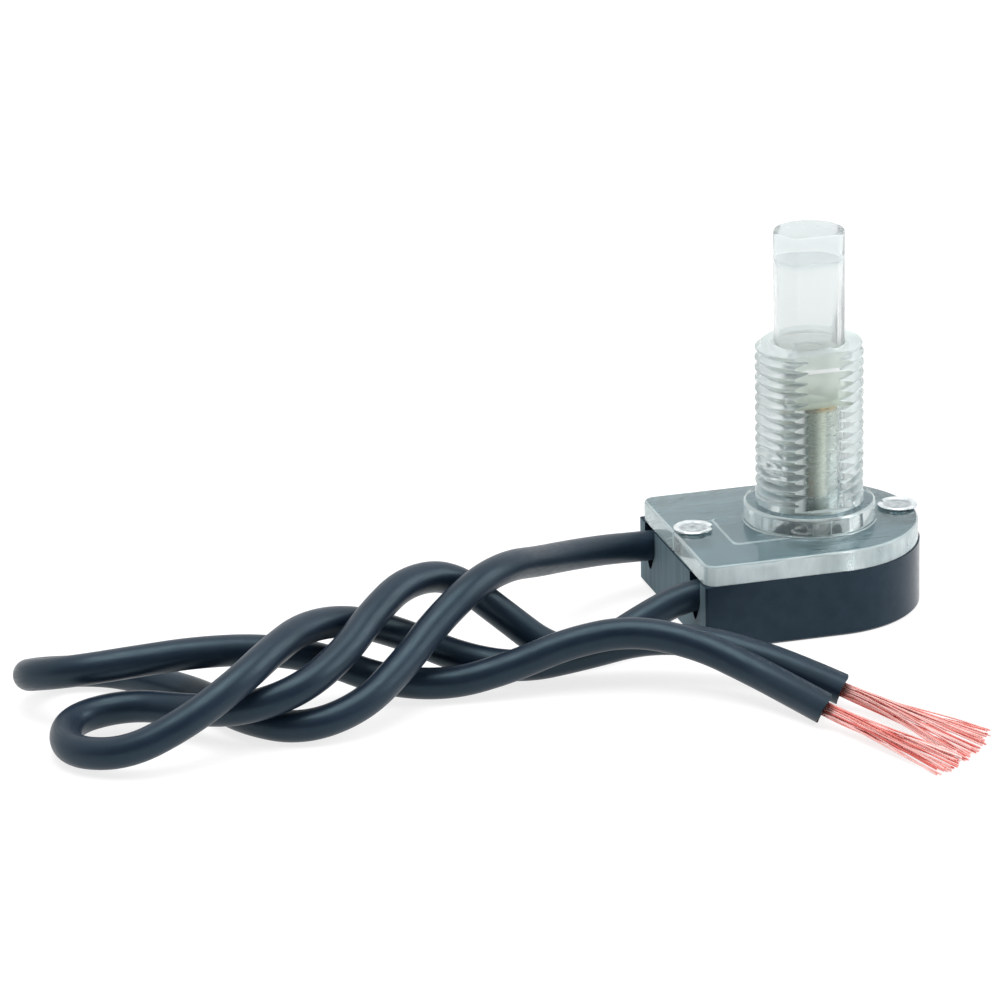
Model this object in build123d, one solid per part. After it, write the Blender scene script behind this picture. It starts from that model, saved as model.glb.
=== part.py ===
from build123d import *
import os
from math import cos, pi, radians, sin, tan

# A push-button canopy switch: a D-shaped moulded base, a clear cover whose collar carries a threaded
# bushing, a clear plunger that turns a cam rotor through helical ramps, and two insulated leads.
# Millimetres, +Z along the bushing. The origin is on the base's underside, on the bushing's axis.
# The leads leave towards -X, the round end is towards +X.

# Body
body_width = 19.4
base_end = 12.7
base_height = 5.85
base_floor = 1.2
base_corner_radius = 0.25
base_edge_chamfer = 0.2
cover_side_inset = 0.12
cover_end_inset = 0.15
cover_thickness = 1.85
cover_corner_radius = 1.1
cover_edge_radius = 0.25

# Bushing and collar, one piece with the cover
bushing_diameter = 9.525
bushing_length = 14.5
bushing_flat = 3.95
bushing_chamfer = 0.25
collar_diameter = 11.6
collar_height = 1.75
collar_edge_radius = 0.3

# Locating recess and gate notch of the cover
recess_end = 8.1
recess_width = 7.1
recess_depth = 0.35
recess_corner_radius = 0.6
notch_width = 0.45
notch_depth = 0.3

# Plunger
button_diameter = 6.2
button_flat = 2.45
button_reach = 10.05
button_cap = 1.7
button_edge_radius = 0.15
button_wall = 0.8
button_core_step = 8.8
cavity_edge_radius = 0.25
web_thickness = 0.8
web_bore = 2.2
lip_height = 2.45
flange_diameter = 7.1
flange_flat = 3.3
flange_height = 3.3
stem_diameter = 4.6
stem_bore = 3.5
guide_clearance = 0.06
flange_clearance = 0.1
stop_gap = 0.05

# Bright sleeve on the plunger's stem
sleeve_length = 10.1
sleeve_wall = 0.3
sleeve_clearance = 0.05

# Cam: one full press turns the rotor by a quarter turn
press_travel = 3.0
rotor_turn = 90.0
tooth_count = 2
tooth_width = 36.0
ramp_steps = 7
cam_clearance = 0.05

# Rotor, its post and its contact bridge
rotor_diameter = 7.0
rotor_thickness = 1.35
rotor_gap = 0.3
hub_diameter = 2.6
post_diameter = 1.6
post_height = 1.8
pivot_clearance = 0.05
bridge_length = 6.8
bridge_width = 1.8
bridge_thickness = 0.4
bridge_clearance = 0.03
contact_gap = 0.05

# Return spring, inside the plunger
spring_wire = 0.35
spring_mean_diameter = 2.9
spring_coils = 16

# Terminals
strip_thickness = 0.35
strip_width = 1.8
strip_clearance = 0.1
wiper_reach = 2.5
wiper_width = 2.0
barrel_length = 2.5
barrel_wall = 0.35
crimp_clearance = 0.03

# Rivets
rivet_lead_margin = 2.0
rivet_round_margin = 1.5
rivet_diameter = 1.7
rivet_head_diameter = 3.6
rivet_head_height = 0.35
rivet_head_dome = 0.12
rivet_roll_diameter = 2.2
rivet_roll_height = 0.7
rivet_clearance = 0.05
rivet_recess_diameter = 2.5
rivet_recess_depth = 1.1

# Leads: 18 gauge stranded wire in thick insulation
lead_diameter = 2.7
lead_core_diameter = 1.2
lead_margin = 3.1
lead_height = 4.2
lead_inside = 6.5
lead_sway = 0.03
slot_clearance = 0.1
relief_radius = 0.55
relief_depth = 0.75
relief_run = 1.6
strip_inside = 3.2
strand_far_width = 3.4
strand_near_width = 5.4
strand_fan_height = 0.9
arc_share = 0.45

# Values worked out from those above
half_width = body_width / 2
cover_half_width = half_width - cover_side_inset
cover_end = base_end - cover_end_inset
cover_top = base_height + cover_thickness
collar_top = cover_top + collar_height
bushing_top = collar_top + bushing_length
button_top = bushing_top + button_reach
lip_bottom = bushing_top - lip_height
flange_top = lip_bottom - stop_gap
flange_bottom = flange_top - flange_height
core_step = button_top - button_core_step
sleeve_bore = stem_diameter + 2 * sleeve_clearance
bore_radius = flange_diameter / 2 + flange_clearance
bore_flat = flange_flat + flange_clearance
cam_lead = press_travel / radians(rotor_turn)
ramp_angle = rotor_turn + tooth_width
hub_bottom = base_floor + contact_gap
bridge_bottom = base_floor + strip_thickness + contact_gap
rotor_bottom = bridge_bottom + bridge_thickness
rotor_top = rotor_bottom + rotor_thickness
ramp_top = rotor_top + cam_lead * radians(ramp_angle)
stem_bottom = ramp_top + press_travel + rotor_gap
pocket_radius = rotor_diameter / 2 + rotor_gap
slot_width = lead_diameter + 2 * slot_clearance
lead_offset = half_width - lead_margin
relief_place = lead_height - slot_width / 2 - relief_depth + relief_radius
rivet_lead_place = rivet_lead_margin - base_end
rivet_round_place = half_width - rivet_round_margin
barrel_bore = lead_core_diameter + 2 * crimp_clearance
barrel_radius = barrel_bore / 2 + barrel_wall
barrel_end = lead_inside - strip_inside
chamber_half = barrel_radius + strip_clearance
chamber_end = wiper_width / 2 + strip_clearance

# Points of the two leads' routes, from inside the housing to the stripped ends
route_far = [
    (-lead_inside, lead_offset, lead_height),
    (-10.0, lead_offset + lead_sway, lead_height),
    (-13.6, lead_offset, lead_height),
    (-17.5, 5.0, 4.9),
    (-22.0, 1.7, 6.0),
    (-25.5, -2.0, 7.2),
    (-29.2, -6.2, 8.8),
    (-33.0, -9.6, 8.9),
    (-37.4, -12.5, 6.8),
    (-41.1, -15.5, 4.5),
    (-45.4, -18.4, 2.4),
    (-50.7, -19.2, 1.4),
    (-54.8, -15.3, 1.4),
    (-56.7, -10.0, 1.6),
    (-59.3, -5.5, 1.4),
    (-63.0, -0.9, 1.4),
    (-68.3, 0.1, 1.6),
    (-71.6, -4.7, 3.4),
    (-68.2, -9.2, 5.0),
    (-62.6, -10.1, 5.6),
    (-57.4, -9.9, 5.7),
    (-51.8, -9.7, 5.2),
    (-46.7, -10.3, 4.0),
    (-41.9, -11.9, 1.9),
    (-36.6, -13.4, 1.4),
    (-31.4, -13.9, 2.5),
    (-26.2, -14.3, 4.3),
    (-20.9, -15.2, 5.1),
    (-16.0, -17.7, 4.2),
    (-12.3, -21.4, 2.7),
    (-9.8, -25.5, 1.8),
    (-8.4, -28.4, 1.4),
]
route_near = [
    (-lead_inside, -lead_offset, lead_height),
    (-10.0, -lead_offset - lead_sway, lead_height),
    (-13.6, -lead_offset, lead_height),
    (-17.4, -7.6, 3.1),
    (-21.8, -9.1, 1.6),
    (-26.1, -9.4, 1.4),
    (-30.4, -6.8, 5.0),
    (-34.3, -6.0, 8.5),
    (-38.9, -8.6, 9.4),
    (-42.8, -12.3, 8.2),
    (-46.1, -15.8, 6.4),
    (-50.6, -18.9, 4.8),
    (-55.5, -18.4, 3.4),
    (-59.3, -14.3, 2.4),
    (-63.6, -10.9, 2.2),
    (-69.1, -11.9, 1.8),
    (-70.3, -17.7, 1.4),
    (-66.0, -21.3, 2.0),
    (-61.0, -21.2, 4.0),
    (-56.3, -19.6, 6.2),
    (-52.4, -16.4, 7.6),
    (-48.7, -12.5, 7.9),
    (-44.1, -9.7, 6.9),
    (-39.4, -9.0, 4.8),
    (-34.6, -9.9, 2.3),
    (-29.8, -11.6, 1.4),
    (-24.5, -12.5, 2.3),
    (-19.3, -13.1, 3.4),
    (-14.4, -15.2, 3.3),
    (-10.3, -18.5, 2.5),
    (-7.3, -22.2, 1.8),
    (-5.6, -24.8, 1.4),
]

# From each stripped end to the middle of its strands' tips
strand_far_way = (6.3, -13.1, -0.9)
strand_near_way = (7.2, -13.1, -0.9)


def disc(diameter, bottom, top):
    """A cylinder on the bushing's axis between two heights."""
    return Pos(0, 0, bottom) * extrude(Circle(diameter / 2), top - bottom)


def block(x0, x1, y0, y1, z0, z1):
    """A box between two corners."""
    return Pos((x0 + x1) / 2, (y0 + y1) / 2, (z0 + z1) / 2) * Box(x1 - x0, y1 - y0, z1 - z0)


def d_bar(diameter, flat, bottom, top):
    """A round bar with one flat, facing -Y at a distance from the axis."""
    radius = diameter / 2
    return disc(diameter, bottom, top) & block(-radius, radius, -flat, radius, bottom, top)


def d_plan(end, half, corner):
    """The body's outline: square at the lead end, half round at the other."""
    outline = Circle(half) + Pos(-end / 2, 0) * Rectangle(end, 2 * half)
    corners = outline.vertices().filter_by(lambda v: abs(v.X + end) < corner / 10)
    return fillet(corners, corner)


def hole_at(x, diameter, bottom, top):
    """A round bore parallel to the axis, at a place on the body's long centre line."""
    return Pos(x, 0, 0) * disc(diameter, bottom, top)


def helical_wedge(start, stop, low, high, inner, outer):
    """A ring sector between two heights, each a function of the angle in degrees."""
    reach = outer / cos(radians((stop - start) / ramp_steps / 2)) + cam_clearance
    sections = []
    for step in range(ramp_steps + 1):
        angle = start + (stop - start) * step / ramp_steps
        upright = Plane(origin=(0, 0, 0), x_dir=(cos(radians(angle)), sin(radians(angle)), 0),
                        z_dir=(sin(radians(angle)), -cos(radians(angle)), 0))
        bottom = low(angle)
        top = high(angle)
        corners = [(inner / 2, bottom), (reach, bottom), (reach, top), (inner / 2, top)]
        sections.append(upright * make_face(Polyline(*corners, close=True)))
    ring = extrude(Circle(outer) - Circle(inner), button_top)
    return loft(sections, ruled=True) & ring


def make_base():
    outline = d_plan(base_end, half_width, base_corner_radius)
    base = extrude(outline, base_height)
    base = chamfer(base.faces().sort_by(Axis.Z)[0].edges(), base_edge_chamfer)
    base -= disc(2 * pocket_radius, base_floor, base_height)
    base += disc(post_diameter, base_floor, base_floor + post_height)
    for side in (1, -1):
        middle = side * lead_offset
        channel = block(-base_end, -lead_inside, middle - slot_width / 2, middle + slot_width / 2,
                        lead_height, base_height)
        round_bottom = Pos(-base_end, middle, lead_height) * Rot(0, 90, 0) * extrude(
            Circle(slot_width / 2), base_end - lead_inside)
        drop = make_hull((Pos(middle, lead_height) * Circle(slot_width / 2)).edges()
                         + (Pos(middle, relief_place) * Circle(relief_radius)).edges())
        relief = Plane.YZ.offset(-base_end) * extrude(drop, relief_run)
        chamber = block(-lead_inside, chamber_end, middle - chamber_half, middle + chamber_half,
                        base_floor, base_height)
        wiper_way = block(-chamber_end, chamber_end, min(0, middle), max(0, middle),
                          base_floor, base_height)
        wiper_way -= disc(2 * wiper_reach, base_floor, base_height)
        base -= channel + round_bottom + relief + chamber + wiper_way
    for place in (rivet_lead_place, rivet_round_place):
        base -= hole_at(place, rivet_diameter + 2 * rivet_clearance, 0, base_height)
        base -= hole_at(place, rivet_recess_diameter, 0, rivet_recess_depth)
    return base


def make_cover():
    outline = d_plan(cover_end, cover_half_width, cover_corner_radius)
    plate = Pos(0, 0, base_height) * extrude(outline, cover_thickness)
    plate = fillet(plate.faces().sort_by(Axis.Z)[-1].edges(), cover_edge_radius)
    collar = disc(collar_diameter, cover_top, collar_top)
    collar = fillet(collar.faces().sort_by(Axis.Z)[-1].edges(), collar_edge_radius)
    bushing = disc(bushing_diameter, collar_top, bushing_top)
    bushing = chamfer(bushing.faces().sort_by(Axis.Z)[-1].edges(), bushing_chamfer)
    bushing &= block(-half_width, half_width, -bushing_flat, half_width, collar_top, bushing_top)
    cover = plate + collar + bushing
    guide = d_bar(button_diameter + 2 * guide_clearance, button_flat + guide_clearance,
                  lip_bottom, bushing_top)
    bore = d_bar(2 * bore_radius, bore_flat, base_height, lip_bottom)
    recess_outline = Pos(-recess_end / 2, 0) * Rectangle(recess_end, recess_width)
    recess_outline = fillet(recess_outline.vertices().group_by(Axis.X)[0], recess_corner_radius)
    recess = Pos(0, 0, base_height) * extrude(recess_outline, recess_depth)
    notch = block(-cover_end, notch_depth - cover_end, -notch_width / 2, notch_width / 2,
                  base_height, cover_top)
    cover -= guide + bore + recess + notch
    for place in (rivet_lead_place, rivet_round_place):
        cover -= hole_at(place, rivet_diameter + 2 * rivet_clearance, base_height, cover_top)
    return cover


def make_button():
    rod = d_bar(button_diameter, button_flat, flange_top, button_top)
    rod = fillet(rod.faces().sort_by(Axis.Z)[-1].edges(), button_edge_radius)
    flange = d_bar(flange_diameter, flange_flat, flange_bottom, flange_top)
    stem = disc(stem_diameter, stem_bottom, flange_bottom)
    button = rod + flange + stem
    button -= disc(stem_bore, stem_bottom, core_step)
    button -= disc(web_bore, core_step, core_step + web_thickness)
    cavity = d_bar(button_diameter - 2 * button_wall, button_flat - button_wall,
                   core_step + web_thickness, button_top - button_cap)
    button -= fillet(cavity.faces().sort_by(Axis.Z)[-1].edges(), cavity_edge_radius)
    for tooth in range(tooth_count):
        turn = 360 / tooth_count * tooth
        button += Rot(0, 0, turn) * helical_wedge(
            rotor_turn, ramp_angle, lambda angle: rotor_top + cam_clearance + cam_lead * radians(angle),
            lambda angle: stem_bottom, stem_bore / 2, stem_diameter / 2)
    return button


def make_rotor():
    rotor = disc(rotor_diameter, rotor_bottom, rotor_top)
    rotor += disc(hub_diameter, hub_bottom, rotor_bottom)
    rotor -= disc(post_diameter + 2 * pivot_clearance, hub_bottom, rotor_top)
    for tooth in range(tooth_count):
        turn = 360 / tooth_count * tooth
        rotor += Rot(0, 0, turn) * helical_wedge(
            0, ramp_angle, lambda angle: rotor_top - rotor_thickness / 2,
            lambda angle: rotor_top + cam_lead * radians(angle), stem_bore / 2, stem_diameter / 2)
    return rotor


def make_bridge():
    strip = Pos(0, 0, bridge_bottom) * extrude(
        SlotOverall(bridge_length, bridge_width, rotation=90) + Circle(hub_diameter / 2 + bridge_thickness)
        - Circle(hub_diameter / 2 + bridge_clearance), bridge_thickness)
    return strip


def make_sleeve():
    sleeve = disc(sleeve_bore + 2 * sleeve_wall, flange_bottom - sleeve_length, flange_bottom)
    return sleeve - disc(sleeve_bore, flange_bottom - sleeve_length, flange_bottom)


def make_spring():
    height = core_step - rotor_top - spring_wire
    pitch = height / spring_coils
    path = Pos(0, 0, rotor_top + spring_wire / 2) * Helix(pitch, height, spring_mean_diameter / 2)
    section = Plane(origin=path @ 0, z_dir=path % 0) * Circle(spring_wire / 2)
    return sweep(section, path=path, is_frenet=True)


def make_terminal(side):
    middle = side * lead_offset
    inner = middle - side * strip_width / 2
    outer = middle + side * barrel_radius
    strip = block(-lead_inside + strip_clearance, wiper_width / 2, min(inner, outer), max(inner, outer),
                  base_floor, base_floor + strip_thickness)
    tip = side * wiper_reach
    wiper = block(-wiper_width / 2, wiper_width / 2, min(tip, inner), max(tip, inner),
                  base_floor, base_floor + strip_thickness)
    riser_inner = outer - side * strip_thickness
    riser = block(-barrel_end - barrel_length, -barrel_end, min(riser_inner, outer), max(riser_inner, outer),
                  base_floor, lead_height)
    barrel = Pos(-barrel_end - barrel_length, middle, lead_height) * Rot(0, 90, 0) * extrude(
        Circle(barrel_radius), barrel_length)
    core_way = Pos(-barrel_end - barrel_length, middle, lead_height) * Rot(0, 90, 0) * extrude(
        Circle(barrel_bore / 2), barrel_length)
    return strip + wiper + riser + barrel - core_way


def make_core(side):
    return Pos(-lead_inside, side * lead_offset, lead_height) * Rot(0, 90, 0) * extrude(
        Circle(lead_core_diameter / 2), strip_inside)


def make_rivet(place):
    shank = disc(rivet_diameter, rivet_recess_depth - rivet_roll_height, cover_top)
    head = disc(rivet_head_diameter, cover_top, cover_top + rivet_head_height)
    head = fillet(head.faces().sort_by(Axis.Z)[-1].edges(), rivet_head_dome)
    roll = disc(rivet_roll_diameter, rivet_recess_depth - rivet_roll_height, rivet_recess_depth)
    roll = fillet(roll.faces().sort_by(Axis.Z)[0].edges(), rivet_roll_height / 3)
    return Pos(place, 0, 0) * (shank + head + roll)


def arc_radii(points):
    """Each corner's arc, as large as its two runs allow."""
    radii = []
    for before, corner, after in zip(points, points[1:], points[2:]):
        run_in = Vector(corner) - Vector(before)
        run_out = Vector(after) - Vector(corner)
        half_turn = radians(run_in.get_angle(run_out)) / 2
        radii.append(arc_share * min(run_in.length, run_out.length) / tan(half_turn))
    return radii


def make_lead(name, points):
    radii = arc_radii(points)
    path = FilletPolyline(*points, radius=radii)
    tube = sweep(Plane(origin=path @ 0, z_dir=path % 0) * Circle(lead_diameter / 2), path=path)
    expected = pi * (lead_diameter / 2) ** 2 * path.length
    print(name, "length", round(path.length, 1), "volume share", round(tube.volume / expected, 4),
          "radii", [round(radius, 1) for radius in radii])
    return tube


def make_strands(points, way, fan_width):
    """The bare strands, from round where they leave the insulation to a low fan at their ends."""
    last_run = Vector(points[-1]) - Vector(points[-2])
    root = Plane(origin=points[-1], x_dir=Vector(0, 0, 1).cross(last_run), z_dir=last_run)
    tip = Plane(origin=Vector(points[-1]) + Vector(way), x_dir=Vector(0, 0, 1).cross(Vector(way)), z_dir=way)
    sections = [root * Circle(lead_core_diameter / 2), tip * Ellipse(fan_width / 2, strand_fan_height / 2)]
    return loft(sections)


nodes = {
    "base_housing": make_base(),
    "clear_cover": make_cover(),
    "push_button": make_button(),
    "return_spring": make_spring(),
    "plunger_sleeve": make_sleeve(),
    "cam_rotor": make_rotor(),
    "contact_bridge": make_bridge(),
    "terminal_far": make_terminal(1),
    "terminal_near": make_terminal(-1),
    "rivet_lead_end": make_rivet(rivet_lead_place),
    "rivet_round_end": make_rivet(rivet_round_place),
    "lead_far": make_lead("lead_far", route_far),
    "lead_near": make_lead("lead_near", route_near),
    "core_far": make_core(1),
    "core_near": make_core(-1),
    "strands_far": make_strands(route_far, strand_far_way, strand_far_width),
    "strands_near": make_strands(route_near, strand_near_way, strand_near_width),
}

os.makedirs("parts", exist_ok=True)
for name, solid in nodes.items():
    export_step(solid, f"parts/{name}.step")
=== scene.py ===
import math
import random

import bmesh
import bpy
from mathutils import Matrix, Vector


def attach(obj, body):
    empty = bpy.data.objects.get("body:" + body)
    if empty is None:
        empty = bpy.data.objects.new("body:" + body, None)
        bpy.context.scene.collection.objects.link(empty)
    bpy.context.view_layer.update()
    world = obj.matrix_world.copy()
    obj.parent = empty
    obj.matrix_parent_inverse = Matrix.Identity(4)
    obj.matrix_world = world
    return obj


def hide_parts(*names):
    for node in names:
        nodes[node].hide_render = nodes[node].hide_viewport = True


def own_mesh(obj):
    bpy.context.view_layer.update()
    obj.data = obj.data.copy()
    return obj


MM = 0.001
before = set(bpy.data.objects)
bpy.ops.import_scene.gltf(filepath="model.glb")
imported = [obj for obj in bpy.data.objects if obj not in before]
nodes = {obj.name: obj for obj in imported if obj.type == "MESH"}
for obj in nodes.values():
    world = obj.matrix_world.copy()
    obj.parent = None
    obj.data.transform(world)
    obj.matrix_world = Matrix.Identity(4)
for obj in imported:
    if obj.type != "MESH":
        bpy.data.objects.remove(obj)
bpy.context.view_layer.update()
scene = bpy.context.scene

# Sizes are in millimetres, heights are above the base's underside, and +Z runs along the bushing

# Cover plate, with the recess and the gate notch in it
BASE_TOP = 5.85
COVER_UNDER = BASE_TOP + 0.04
COVER_TOP = 7.70
COVER_END = 12.55
COVER_HALF = 9.58
COVER_CORNER = 1.1
COVER_EDGE = 0.25
RECESS_TOP = BASE_TOP + 0.35
RECESS_END = 8.1
RECESS_HALF = 3.55
RECESS_CORNER = 0.6
RECESS_LEAN = 0.2
NOTCH_END = 12.25
NOTCH_HALF = 0.225

# Collar, its foot as (radius, rise above the plate), and its seam
COLLAR_TOP = 9.45
COLLAR_RADIUS = 5.8
COLLAR_EDGE = 0.3
COLLAR_SIDES = 128
COLLAR_FOOT = (
    (5.94, -0.6), (5.94, 0.06), (5.90, 0.11), (5.76, 0.13), (5.72, 0.18), (5.76, 0.23), (5.80, 0.25))
SEAM_HALF = 0.06
SEAM_IN = 5.0
SEAM_OUT = 5.88
SEAM_DROP = 0.1
SEAM_ROOT = 0.3

# Threaded bushing with one flat, and the stepped bore that guides the plunger
BUSHING_TOP = 23.95
BUSHING_RADIUS = 4.7625
BUSHING_FLAT = 3.95
BUSHING_LEAD_IN = 0.22
FLAT_FOOT = 0.22
THREAD_PITCH = 25.4 / 27
THREAD_DEPTH = 0.57
THREAD_FOOT = 0.55
THREAD_RUN_OUT = 0.4
THREAD_CREST = 0.16
THREAD_ROUNDING = 0.35
THREAD_ROWS = 14
FLAT_HALF = math.sqrt((BUSHING_RADIUS - THREAD_DEPTH) ** 2 - BUSHING_FLAT ** 2)
LIP_BOTTOM = 22.35
STEP_HALF = 0.17
GUIDE_RADIUS = 3.16
GUIDE_FLAT = 2.51
BORE_RADIUS = 3.65
BORE_FLAT = 3.40
BORE_CORNER = 0.5

# The bushing's angles in degrees, as (start, stop, steps), finer at the ends of the flat
BUSHING_SECTORS = ((-90, -72, 8), (-72, -54, 36), (-54, 234, 110), (234, 252, 36), (252, 270, 8))

# Button: its D section, stem, flange and hollow
BUTTON_RADIUS = 3.1
BUTTON_FLAT = 2.45
BUTTON_CORNER = 0.25
BUTTON_TOP = 34.0
BUTTON_EDGE = 0.16
BUTTON_WALL = 0.38
BUTTON_SUNK = 1.5
STEM_CUT = 18.0
STEM_RADIUS = 2.26
FLANGE_RADIUS = 3.55
FLANGE_FLAT = 3.30
FLANGE_BOTTOM = 19.0
FLANGE_TOP = 22.29
HOLLOW_TOP = 31.43
HOLLOW_FLOOR = 23.8
HOLLOW_CORNER = 0.3
WEB_BORE = 1.4
BORE_SIDES = 72

# Plated sleeve on the button's stem, and the way towards the side that is painted darker as a painted dark
# reflection
SLEEVE_RADIUS = 2.65
SLEEVE_BORE = 2.35
SLEEVE_BOTTOM = 8.05
SLEEVE_TOP = 18.98
SLEEVE_EDGE = 0.05
PAINTED_SHADE_WAY = (-0.45, -0.893, 0)

# Return spring, its wire given by its radius
SPRING_SEAT = 23.2
SPRING_FOOT = 3.35
SPRING_BORE = 1.76
SPRING_BORE_LOW = 12.0
SPRING_TURNS = 16
SPRING_RADIUS = 1.45
SPRING_WIRE = 0.175
SPRING_STEPS = 24
SPRING_SIDES = 10

# Rivets: the rolled end as (radius, height), the dished head as (radius, rise above the plate)
RIVET_PLACES = (-10.7, 8.2)
RIVET_HOLE = 0.9
HOLE_SIDES = 48
RIVET_ROLL = ((0.45, 0.42), (0.85, 0.40), (1.04, 0.52), (1.10, 0.75), (1.05, 1.0), (0.86, 1.1), (0.85, 1.25))
RIVET_HEAD = (
    (0.85, -0.02), (0.95, 0.0), (1.62, 0.02), (1.76, 0.09), (1.80, 0.17), (1.78, 0.26), (1.70, 0.32),
    (1.58, 0.345), (1.44, 0.33), (1.30, 0.26), (1.15, 0.19), (0.95, 0.17), (0.75, 0.20), (0.55, 0.22),
    (0.35, 0.19))
RIVET_SIDES = 72
DISH_RISE = 0.1
RIM_RISE = 0.2
RIM_START = 1.3
RIM_UNEVEN = 0.02
NICK_ROOT = 1.2
NICK_RIM = 1.8
NICK_BITE = 0.62
NICK_DROP = 0.14
NICK_ANGLE = 0.15

# Leads. The girth is the length that one turn of the texture takes up, in metres.
LEAD_DIAMETER = 2.7
LEAD_RADIUS = LEAD_DIAMETER / 2
LEAD_SIDES = 40
LEAD_GIRTH = 0.0085
CORE_RADIUS = 0.6

# The slanted cut at the leads' ends: a direction that lies in it, its share and the length kept for it
CUT_WAY = (0.24, 0.91, -0.33)
CUT_SHARE = 0.85
CUT_CLEAR = 1.3
CUT_WAVE = 0.10
CUT_RIPPLE = 0.04

# The rows of the cut end, from the outside into the bore: (shift along the lead, radius, unevenness)
CUT_ROWS = (
    (0.0, LEAD_RADIUS, 1.0), (0.02, 0.985 * LEAD_RADIUS, 1.0), (-0.02, 0.93 * LEAD_RADIUS, 0.7),
    (-0.10, 0.75 * LEAD_RADIUS, 0.3), (-0.14, 1.03 * CORE_RADIUS, 0.1), (-1.6, 0.9 * CORE_RADIUS, 0.0))

# Bare strands: the rings that they are packed in as (count, radius), their twist in radians, and their fan
STRAND_DIAMETER = 0.16
STRAND_RINGS = ((6, 0.17), (12, 0.34), (22, 0.51))
STRAND_STAGGER = 0.3
STRAND_TWIST = 2.2
STRAND_START = 0.3
STRAND_RUN = 14.5
STRAND_INSIDE = 1.2
STRAND_MIX = 0.22
STRAND_SIDES = 7
STRAND_ROWS = 30
FAN_POWER = 2.4

# What chance adds to each strand: to its tip across, along and up, and to its middle sideways and up
TIP_ACROSS = (-0.3, 0.3)
TIP_ALONG = (-0.5, 0.5)
TIP_UP = (-0.3, 0.4)
STRAND_WANDER = (-0.25, 0.25)
STRAND_LIFT = (-0.10, 0.20)

# The cover's finishes, in the order of its materials
PLATE, FROSTED, THREAD, COLLAR, WINDOW, FACET, HAZY_WINDOW, FOGGED, HIGHLIGHT_LINE = range(9)

# How the cover's faces are told apart: shares of a normal along an axis, distances from the axis, and slack
LEVEL = 0.97
FRONT = 0.95
UPRIGHT = 0.5
SLOPED = 0.3
END_WARD = 0.8
INNER_REACH = 4.0
RECESS_REACH = 3.75
COLLAR_INNER = 5.3
RIM_REACH = 9.3
HAIR = 0.02
SLACK = 0.05
FOOT_RISE = 0.12
RECESS_SLACK = 0.15
RIVET_CLEAR = 1.5

# How far a piece or a cutting tool stands past the face it meets, and half a block that clears the bushing
OVERLAP = 1.0
SMALL_OVERLAP = 0.5
BEYOND = 6.0

# Shading angle of the pieces made by booleans, in degrees, and the steps of arcs and rounded edges
CUT_SMOOTH = 32
ARC_STEPS = 96
CORNER_STEPS = 8
EDGE_STEPS = 6
PLAN_STEPS = 64
PLAN_CORNER_STEPS = 12
QUARTER = math.pi / 2

# The range that a noise texture mostly keeps to, and its roughness
NOISE_LOW = 0.3
NOISE_HIGH = 0.7
NOISE_ROUGH = 0.55

# The shares of a normal between which a face comes to look a given way
FACING_START = 0.85
FACING_FULL = 0.97

# Where a Mix node has its two inputs and its result
MIX_SOCKETS = {"RGBA": (6, 7, 2), "FLOAT": (2, 3, 0)}

# Refraction of the cover and, lower to keep dark bands out of it, of the button
CLEAR_IOR = 1.49
BUTTON_IOR = 1.12

# A faint blue cast of gloss on the plastics
COOL_GLOSS = (0.62, 0.90, 1.0, 1.0)

# The camera that was fitted to the photograph, in metres
CAMERA_RIGHT = Vector((0.963184, -0.267979, -0.021515))
CAMERA_UP = Vector((0.109245, 0.317018, 0.942107))
CAMERA_PLACE = Vector((-0.136399, -0.400831, 0.159913))
CAMERA_LENS = 183.63

# Studio: the way to the darker room in front, its level, and the lamps as (name, place, size, power, aim)
ROOM_WAY = (-0.26, -0.96, -0.05)
ROOM_LEVEL = 0.14
ROOM_EDGE = 0.75
FLOOR_HALF = 3000
LAMPS = (
    ("overhead", (-0.05, -0.05, 0.55), 0.40, 2.2, (-0.02, 0, 0)),
    ("right_fill", (0.50, -0.14, 0.28), 0.40, 1.6, (0, 0, 0.01)),
)

ROUTE_FAR = [
    (-6.5, 6.6, 4.2), (-10.0, 6.63, 4.2), (-13.6, 6.6, 4.2), (-17.5, 5.0, 4.9), (-22.0, 1.7, 6.0),
    (-25.5, -2.0, 7.2), (-29.2, -6.2, 8.8), (-33.0, -9.6, 8.9), (-37.4, -12.5, 6.8), (-41.1, -15.5, 4.5),
    (-45.4, -18.4, 2.4), (-50.7, -19.2, 1.4), (-54.8, -15.3, 1.4), (-56.7, -10.0, 1.6), (-59.3, -5.5, 1.4),
    (-63.0, -0.9, 1.4), (-68.3, 0.1, 1.6), (-71.6, -4.7, 3.4), (-68.2, -9.2, 5.0), (-62.6, -10.1, 5.6),
    (-57.4, -9.9, 5.7), (-51.8, -9.7, 5.2), (-46.7, -10.3, 4.0), (-41.9, -11.9, 1.9), (-36.6, -13.4, 1.4),
    (-31.4, -13.9, 2.5), (-26.2, -14.3, 4.3), (-20.9, -15.2, 5.1), (-16.0, -17.7, 4.2), (-12.3, -21.4, 2.7),
    (-9.8, -25.5, 1.8), (-8.4, -28.4, 1.4),
]
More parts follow.
